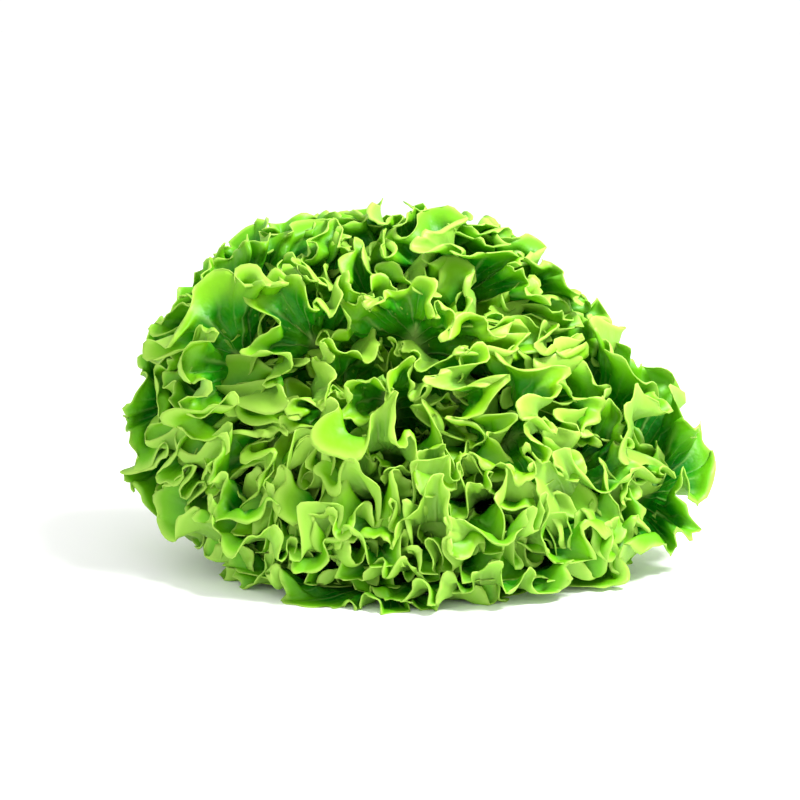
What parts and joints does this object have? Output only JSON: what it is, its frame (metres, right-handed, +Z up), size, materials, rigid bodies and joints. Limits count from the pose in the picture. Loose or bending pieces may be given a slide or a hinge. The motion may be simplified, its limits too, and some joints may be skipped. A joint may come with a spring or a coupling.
{
  "type": "curly leaf lettuce",
  "caption": "Head of curly leaf lettuce lying on its side: a short cut stem with a spiral of broad, frilled green leaves.",
  "frame": {"origin": "centre of the bounding box in plan, on the surface that the head lies on", "axes": "+Z up, +X along the head's longest extent, across it; the crown faces -Y and the cut butt faces +Y"},
  "size_m": [0.2982, 0.184, 0.1774],
  "materials": {
    "stem_flesh": "pale, moist stem flesh with a browned cut face",
    "heart_leaf_blade": "soft, thin yellow-green leaf with a slight sheen",
    "inner_leaf_blade": "soft, thin light green leaf with a slight sheen",
    "middle_leaf_blade": "soft, thin bright green leaf with a slight sheen",
    "outer_leaf_blade": "thin mid-green leaf with a slight sheen and paler veins"
  },
  "bodies": {
    "root": {"stem": "stem_flesh", "heart_leaf_1": "heart_leaf_blade", "heart_leaf_2": "heart_leaf_blade", "heart_leaf_3": "heart_leaf_blade", "heart_leaf_4": "heart_leaf_blade", "heart_leaf_5": "heart_leaf_blade", "heart_leaf_6": "heart_leaf_blade", "heart_leaf_7": "heart_leaf_blade", "heart_leaf_8": "heart_leaf_blade", "inner_leaf_1": "inner_leaf_blade", "inner_leaf_2": "inner_leaf_blade", "inner_leaf_3": "inner_leaf_blade", "inner_leaf_4": "inner_leaf_blade", "inner_leaf_5": "inner_leaf_blade", "inner_leaf_6": "inner_leaf_blade", "inner_leaf_7": "inner_leaf_blade", "inner_leaf_8": "inner_leaf_blade", "inner_leaf_9": "inner_leaf_blade", "inner_leaf_10": "inner_leaf_blade", "middle_leaf_1": "middle_leaf_blade", "middle_leaf_2": "middle_leaf_blade", "middle_leaf_3": "middle_leaf_blade", "middle_leaf_4": "middle_leaf_blade", "middle_leaf_5": "middle_leaf_blade", "middle_leaf_6": "middle_leaf_blade", "middle_leaf_7": "middle_leaf_blade", "middle_leaf_8": "middle_leaf_blade", "middle_leaf_9": "middle_leaf_blade", "middle_leaf_10": "middle_leaf_blade", "middle_leaf_11": "middle_leaf_blade", "middle_leaf_12": "middle_leaf_blade", "middle_leaf_13": "middle_leaf_blade", "outer_leaf_1": "outer_leaf_blade", "outer_leaf_2": "outer_leaf_blade", "outer_leaf_3": "outer_leaf_blade", "outer_leaf_4": "outer_leaf_blade", "outer_leaf_5": "outer_leaf_blade", "outer_leaf_6": "outer_leaf_blade", "outer_leaf_7": "outer_leaf_blade", "outer_leaf_8": "outer_leaf_blade", "outer_leaf_9": "outer_leaf_blade", "outer_leaf_10": "outer_leaf_blade", "outer_leaf_11": "outer_leaf_blade", "outer_leaf_12": "outer_leaf_blade", "outer_leaf_13": "outer_leaf_blade"}
  },
  "joints": []
}
